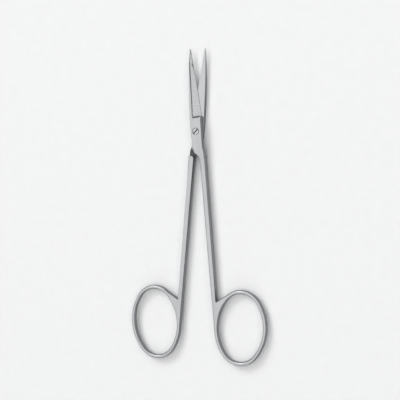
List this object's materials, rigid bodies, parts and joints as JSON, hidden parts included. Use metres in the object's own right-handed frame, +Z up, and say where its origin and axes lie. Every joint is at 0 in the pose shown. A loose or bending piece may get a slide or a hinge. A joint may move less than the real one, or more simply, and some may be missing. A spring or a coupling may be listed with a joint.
{
  "type": "iris scissors",
  "caption": "Fine straight surgical scissors with finger rings, slender ground blades and a lapped joint turning on a slotted pivot screw, lying slightly open.",
  "frame": {"origin": "on the pivot axis, at the flat outer face of the lower half's joint plate, which rests on the table", "axes": "+Y from the pivot towards the blade tips, midway between the open halves; +Z up through the slotted screw head; +X towards the ring of the upper half"},
  "size_m": [0.0538, 0.1129, 0.0038],
  "materials": {
    "forged_steel": "satin polished stainless steel",
    "screw_steel": "turned stainless steel"
  },
  "bodies": {
    "lower_half": {"back_half": "forged_steel", "pivot_screw": "screw_steel"},
    "upper_half": {"front_half": "forged_steel"}
  },
  "joints": [
    {"name": "pivot", "type": "hinge", "parent": "lower_half", "child": "upper_half", "pos_m": [0, 0, 0], "axis": [0, 0, 1], "range_deg": [-10.6, 140]}
  ]
}
